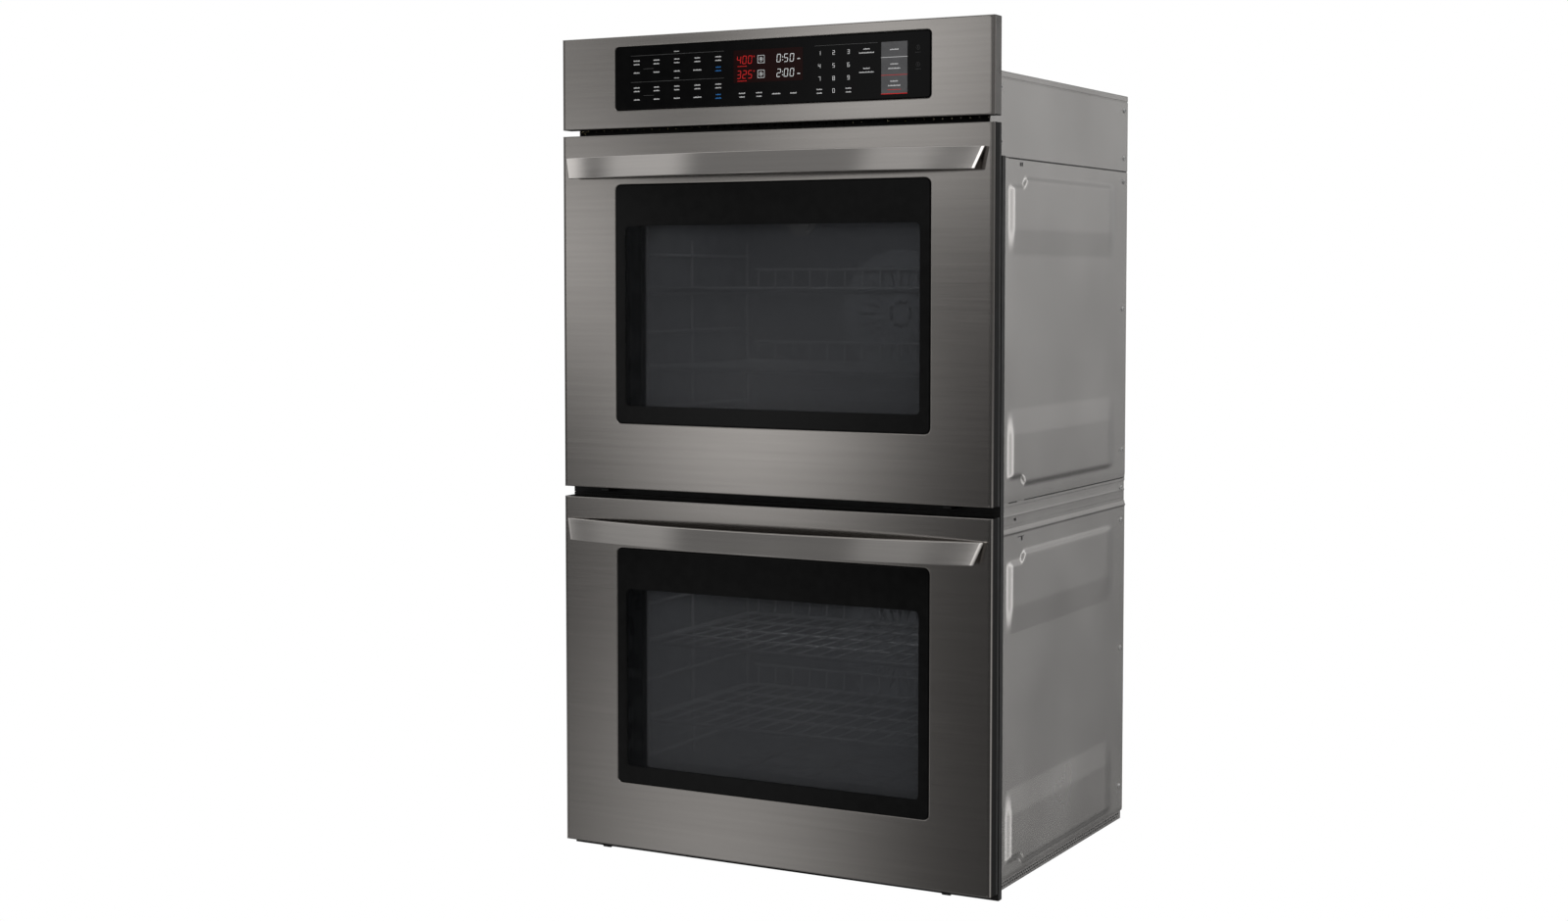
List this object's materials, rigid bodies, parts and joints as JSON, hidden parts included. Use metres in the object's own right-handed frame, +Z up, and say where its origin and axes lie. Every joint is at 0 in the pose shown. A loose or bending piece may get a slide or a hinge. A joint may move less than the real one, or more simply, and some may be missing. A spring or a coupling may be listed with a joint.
{
  "type": "double wall oven",
  "caption": "Built-in electric oven with stacked cavities, drop-down glazed doors with bowed bar handles, a touch control panel, sliding wire racks and a sheet-metal case.",
  "frame": {"origin": "middle of the bounding box at the underside of the base tray", "axes": "+X to the right seen from the front, +Y from the front to the back, +Z up"},
  "size_m": [0.756, 0.676, 1.315],
  "materials": {
    "black_glass": "gloss, black printed border",
    "black_plastic": "fine matt",
    "black_sheet": "satin black",
    "board": "circuit board",
    "clear_glass": "clear",
    "element": "matt dark tube",
    "enamel": "speckled blue-grey enamel",
    "fan_metal": "plain",
    "fascia": "brushed dark stainless",
    "fibre_gasket": "woven glass fibre",
    "galvanised": "satin warm grey sheet",
    "handle": "satin dark stainless",
    "lamp": "ribbed lens",
    "post": "satin",
    "rack_wire": "bright wire",
    "skin": "brushed dark stainless",
    "wool": "mineral wool",
    "zinc": "zinc-plated"
  },
  "bodies": {
    "case": {"control_fascia": "fascia", "control_glass": "black_glass", "control_board": "board", "control_back": "zinc", "top_cover": "galvanised", "upper_sides": "galvanised", "lower_sides": "galvanised", "upper_back": "galvanised", "lower_back": "galvanised", "base_tray": "galvanised", "middle_shelf": "galvanised", "upper_frame": "black_sheet", "lower_frame": "black_sheet", "upper_cavity": "enamel", "lower_cavity": "enamel", "upper_gasket": "fibre_gasket", "lower_gasket": "fibre_gasket", "upper_fan_cover": "enamel", "lower_fan_cover": "enamel", "upper_bake_element": "element", "lower_bake_element": "element", "upper_broil_element": "element", "lower_broil_element": "element", "fan_motors": "zinc", "blower_housing": "zinc", "oven_lamps": "lamp", "upper_rack_guides": "rack_wire", "lower_rack_guides": "rack_wire", "latch_motors": "zinc", "supply_gland": "zinc", "terminal_cover": "galvanised", "insulation": "wool", "case_screws": "zinc"},
    "upper_door": {"upper_door_skin": "skin", "upper_door_trims": "black_plastic", "upper_outer_glass": "black_glass", "upper_middle_glass": "clear_glass", "upper_inner_glass": "clear_glass", "upper_door_liner": "enamel", "upper_handle": "handle", "upper_handle_posts": "post", "upper_hinge_arms": "black_sheet"},
    "upper_rack_high": {"upper_rack_a": "rack_wire"},
    "upper_rack_low": {"upper_rack_b": "rack_wire"},
    "upper_convection_fan": {"upper_fan": "fan_metal"},
    "upper_lock_hook": {"upper_latch": "zinc"},
    "lower_door": {"lower_door_skin": "skin", "lower_door_trims": "black_plastic", "lower_outer_glass": "black_glass", "lower_middle_glass": "clear_glass", "lower_inner_glass": "clear_glass", "lower_door_liner": "enamel", "lower_handle": "handle", "lower_handle_posts": "post", "lower_hinge_arms": "black_sheet"},
    "lower_rack_high": {"lower_rack_a": "rack_wire"},
    "lower_rack_low": {"lower_rack_b": "rack_wire"},
    "lower_convection_fan": {"lower_fan": "fan_metal"},
    "lower_lock_hook": {"lower_latch": "zinc"},
    "cooling_wheel": {"blower_wheel": "fan_metal"}
  },
  "joints": [
    {"name": "upper_door_hinge", "type": "hinge", "parent": "case", "child": "upper_door", "pos_m": [0, -0.269, 0.5915], "axis": [1, 0, 0], "range_deg": [0, 90], "stiffness_Nm_per_rad": 14, "springref_deg": -20.05},
    {"name": "upper_rack_high_slide", "type": "slide", "parent": "case", "child": "upper_rack_high", "axis": [0, -1, 0], "range_m": [0, 0.3]},
    {"name": "upper_rack_low_slide", "type": "slide", "parent": "case", "child": "upper_rack_low", "axis": [0, -1, 0], "range_m": [0, 0.2607]},
    {"name": "upper_fan_spin", "type": "hinge", "parent": "case", "child": "upper_convection_fan", "pos_m": [0, 0.217, 0.87], "axis": [0, 1, 0], "continuous": true},
    {"name": "upper_lock_turn", "type": "hinge", "parent": "case", "child": "upper_lock_hook", "pos_m": [0, -0.221, 1.124], "axis": [0, 0, -1], "range_deg": [0, 90]},
    {"name": "lower_door_hinge", "type": "hinge", "parent": "case", "child": "lower_door", "pos_m": [0, -0.269, 0.0095], "axis": [1, 0, 0], "range_deg": [0, 90], "stiffness_Nm_per_rad": 14, "springref_deg": -20.05},
    {"name": "lower_rack_high_slide", "type": "slide", "parent": "case", "child": "lower_rack_high", "axis": [0, -1, 0], "range_m": [0, 0.3]},
    {"name": "lower_rack_low_slide", "type": "slide", "parent": "case", "child": "lower_rack_low", "axis": [0, -1, 0], "range_m": [0, 0.2607]},
    {"name": "lower_fan_spin", "type": "hinge", "parent": "case", "child": "lower_convection_fan", "pos_m": [0, 0.217, 0.288], "axis": [0, 1, 0], "continuous": true},
    {"name": "lower_lock_turn", "type": "hinge", "parent": "case", "child": "lower_lock_hook", "pos_m": [0, -0.221, 0.542], "axis": [0, 0, -1], "range_deg": [0, 90]},
    {"name": "cooling_wheel_spin", "type": "hinge", "parent": "case", "child": "cooling_wheel", "pos_m": [0, -0.06, 1.194], "axis": [1, 0, 0], "continuous": true}
  ],
  "couplings": [
    {"joint": "upper_rack_high_slide", "follows": "upper_door_hinge", "m_per_rad": 0.19},
    {"joint": "upper_rack_low_slide", "follows": "upper_door_hinge", "m_per_rad": 0.165},
    {"joint": "lower_rack_high_slide", "follows": "lower_door_hinge", "m_per_rad": 0.19},
    {"joint": "lower_rack_low_slide", "follows": "lower_door_hinge", "m_per_rad": 0.165}
  ]
}
